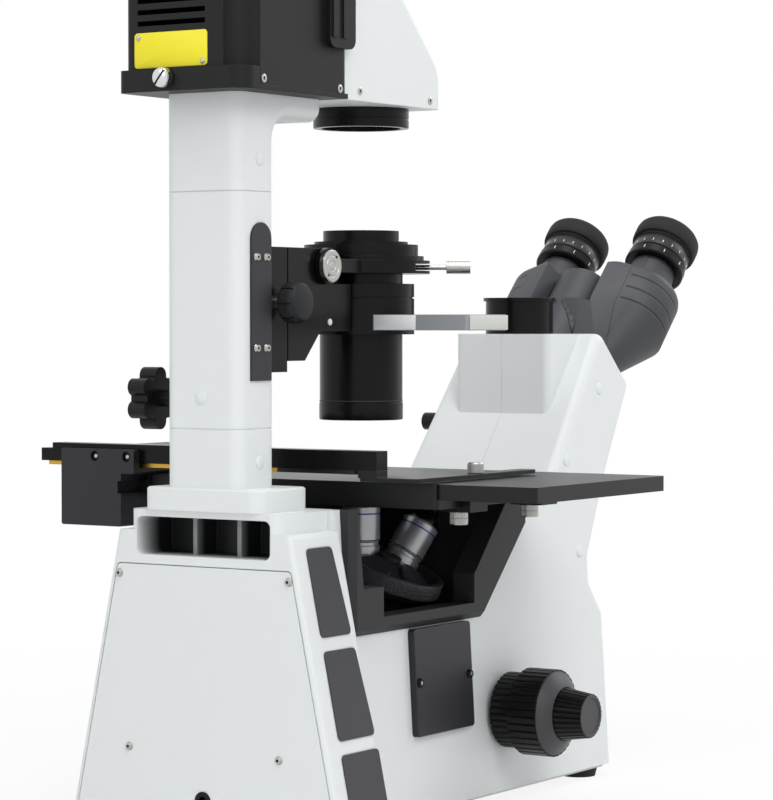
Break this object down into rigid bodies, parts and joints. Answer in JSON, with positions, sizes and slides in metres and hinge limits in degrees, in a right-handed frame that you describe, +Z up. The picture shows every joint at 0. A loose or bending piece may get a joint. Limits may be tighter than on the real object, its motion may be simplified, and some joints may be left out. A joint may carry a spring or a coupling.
{
  "type": "inverted microscope",
  "caption": "Inverted biological microscope with binocular head, camera port, nosepiece under the stage, mechanical stage, phase condenser on a pillar and lamp house on top",
  "frame": {"origin": "on the bench straight under the optical axis (condenser, specimen and objective)", "axes": "X to the user's right, -Y towards the user and the eyepieces, +Y to the rear, Z up"},
  "size_m": [0.354, 0.5533, 0.54],
  "materials": {
    "white_paint": "satin cool white paint",
    "cover_paint": "satin cool white paint on sheet steel",
    "pad_plastic": "dark grey textured plastic",
    "frame_plastic": "dark grey fine texture",
    "liner_black": "matte black",
    "black_anodised": "black anodised, satin",
    "stage_black": "black anodised, fine matt",
    "lamp_black": "black satin paint",
    "head_plastic": "charcoal plastic, fine texture",
    "knob_plastic": "black moulded plastic",
    "rubber": "matte black rubber",
    "steel_plate": "plated sheet steel",
    "screw_steel": "bright plated steel",
    "chrome": "bright chrome",
    "brass": "satin brass",
    "slider_grey": "bead-blasted grey",
    "optics": "coated optical glass",
    "lamp_glass": "lamp glass over a black holder",
    "mirror": "front-silvered mirror",
    "inlet_plastic": "black socket"
  },
  "bodies": {
    "stand": {"left_shell": "white_paint", "right_shell": "white_paint", "rear_tower": "white_paint", "rear_cover": "cover_paint", "cover_screws": "screw_steel", "power_inlet": "inlet_plastic", "side_pads": "pad_plastic", "floor_plate": "steel_plate", "rubber_feet": "rubber", "bay_frame": "frame_plastic", "bay_liner": "liner_black", "side_port_cover": "black_anodised", "camera_port": "black_anodised", "pillar_foot": "white_paint", "pillar_column": "white_paint", "pillar_arm": "white_paint", "pillar_strip": "black_anodised", "stage_plate": "stage_black", "stage_insert": "stage_black", "stage_extension": "stage_black", "extension_thumb_screws": "chrome", "lamp_tray": "lamp_black", "lamp_cover": "lamp_black", "lamp_nose": "white_paint", "lamp_mirror": "mirror", "lamp_bulb": "lamp_glass", "collector_ring": "black_anodised", "collector_lens": "optics", "condenser_rail": "black_anodised", "head_base": "head_plastic"},
    "pillar_clamp": {"pillar_clamp_knob": "knob_plastic"},
    "lamp_screw": {"lamp_thumb_screw": "chrome"},
    "focus_carrier": {"nosepiece_carrier": "black_anodised"},
    "nosepiece": {"nosepiece_turret": "black_anodised", "objectives": "chrome"},
    "coarse_knobs": {"coarse_focus_knobs": "knob_plastic"},
    "fine_knobs": {"fine_focus_knobs": "knob_plastic"},
    "tension": {"tension_ring": "knob_plastic"},
    "condenser": {"condenser_carrier": "black_anodised", "condenser_body": "black_anodised", "condenser_lens": "optics"},
    "height_knob": {"condenser_knob": "knob_plastic"},
    "slider": {"phase_slider": "slider_grey"},
    "diaphragm": {"diaphragm_arm": "black_anodised", "diaphragm_pivot": "chrome"},
    "iris": {"iris_lever": "chrome"},
    "carriage": {"stage_carriage": "stage_black"},
    "cross_rail": {"stage_rail": "black_anodised", "stage_rack": "brass", "specimen_holder": "stage_black"},
    "y_knob": {"stage_y_knob": "knob_plastic"},
    "x_knob": {"stage_x_knob": "knob_plastic"},
    "left_head": {"left_ocular_arm": "head_plastic", "left_eyepiece": "rubber"},
    "right_head": {"right_ocular_arm": "head_plastic", "right_eyepiece": "rubber"},
    "left_dioptre": {"left_diopter_ring": "knob_plastic"},
    "right_dioptre": {"right_diopter_ring": "knob_plastic"},
    "dial": {"brightness_dial": "knob_plastic"},
    "path_rod": {"light_path_rod": "knob_plastic"}
  },
  "joints": [
    {"name": "focus_slide", "type": "slide", "parent": "stand", "child": "focus_carrier", "axis": [0, 0, 1], "range_m": [-0.002, 0.007]},
    {"name": "coarse_focus", "type": "hinge", "parent": "stand", "child": "coarse_knobs", "pos_m": [0, -0.066, 0.059], "axis": [1, 0, 0], "range_deg": [-19.5, 67.5]},
    {"name": "fine_focus", "type": "hinge", "parent": "stand", "child": "fine_knobs", "pos_m": [0, -0.066, 0.059], "axis": [1, 0, 0], "continuous": true},
    {"name": "tension_turn", "type": "hinge", "parent": "stand", "child": "tension", "pos_m": [-0.076, -0.066, 0.059], "axis": [-1, 0, 0], "range_deg": [-40, 40]},
    {"name": "nosepiece_turn", "type": "hinge", "parent": "focus_carrier", "child": "nosepiece", "pos_m": [-0.017, -0.003, 0.15167], "axis": [-0.3848, -0.0678, 0.9205], "continuous": true},
    {"name": "condenser_slide", "type": "slide", "parent": "stand", "child": "condenser", "axis": [0, 0, 1], "range_m": [-0.012, 0.002]},
    {"name": "condenser_height", "type": "hinge", "parent": "stand", "child": "height_knob", "pos_m": [-0.02, 0.1195, 0.3165], "axis": [1, 0, 0], "range_deg": [-19.5, 116]},
    {"name": "phase_shift", "type": "slide", "parent": "condenser", "child": "slider", "axis": [1, 0, 0], "range_m": [-0.045, 0.045]},
    {"name": "diaphragm_flip", "type": "hinge", "parent": "condenser", "child": "diaphragm", "pos_m": [0, 0.0705, 0.3388], "axis": [-1, 0, 0], "range_deg": [0, 34]},
    {"name": "iris_turn", "type": "hinge", "parent": "diaphragm", "child": "iris", "pos_m": [0, 0, 0.3393], "axis": [0, 0, 1], "range_deg": [-32, 32]},
    {"name": "stage_y", "type": "slide", "parent": "stand", "child": "carriage", "axis": [0, 1, 0], "range_m": [-0.07, 0.008]},
    {"name": "stage_x", "type": "slide", "parent": "carriage", "child": "cross_rail", "axis": [1, 0, 0], "range_m": [-0.057, 0.057]},
    {"name": "stage_y_drive", "type": "hinge", "parent": "carriage", "child": "y_knob", "pos_m": [0.136, 0.012, 0.128], "axis": [0, 0, 1], "range_deg": [-402, 46.5]},
    {"name": "stage_x_drive", "type": "hinge", "parent": "carriage", "child": "x_knob", "pos_m": [0.136, 0.012, 0.106], "axis": [0, 0, 1], "range_deg": [-328, 328]},
    {"name": "left_ocular", "type": "hinge", "parent": "stand", "child": "left_head", "pos_m": [0, -0.2385, 0.2795], "axis": [0, -0.7071, 0.7071], "range_deg": [-3, 28]},
    {"name": "right_ocular", "type": "hinge", "parent": "stand", "child": "right_head", "pos_m": [0, -0.2385, 0.2795], "axis": [0, -0.7071, 0.7071], "range_deg": [-28, 3]},
    {"name": "left_dioptre_turn", "type": "hinge", "parent": "left_head", "child": "left_dioptre", "pos_m": [-0.0365, -0.32392, 0.34399], "axis": [0, -0.7071, 0.7071], "range_deg": [-60, 60]},
    {"name": "right_dioptre_turn", "type": "hinge", "parent": "right_head", "child": "right_dioptre", "pos_m": [0.0365, -0.32392, 0.34399], "axis": [0, -0.7071, 0.7071], "range_deg": [-60, 60]},
    {"name": "light_path", "type": "slide", "parent": "stand", "child": "path_rod", "axis": [1, 0, 0], "range_m": [0, 0.012]},
    {"name": "brightness", "type": "hinge", "parent": "stand", "child": "dial", "pos_m": [0.073, -0.15, 0.04], "axis": [1, 0, 0], "range_deg": [0, 270]},
    {"name": "clamp_turn", "type": "hinge", "parent": "stand", "child": "pillar_clamp", "pos_m": [0.048, 0.15, 0.26], "axis": [1, 0, 0], "range_deg": [0, 270]},
    {"name": "lamp_screw_turn", "type": "hinge", "parent": "stand", "child": "lamp_screw", "pos_m": [0.0105, 0.19, 0.4455], "axis": [0, 1, 0], "range_deg": [0, 360]}
  ],
  "couplings": [
    {"joint": "coarse_focus", "follows": "focus_slide", "rad_per_m": 166.67},
    {"joint": "condenser_height", "follows": "condenser_slide", "rad_per_m": -166.67},
    {"joint": "stage_y_drive", "follows": "stage_y", "rad_per_m": 100},
    {"joint": "stage_x_drive", "follows": "stage_x", "rad_per_m": 100},
    {"joint": "right_ocular", "follows": "left_ocular", "ratio": -1}
  ]
}
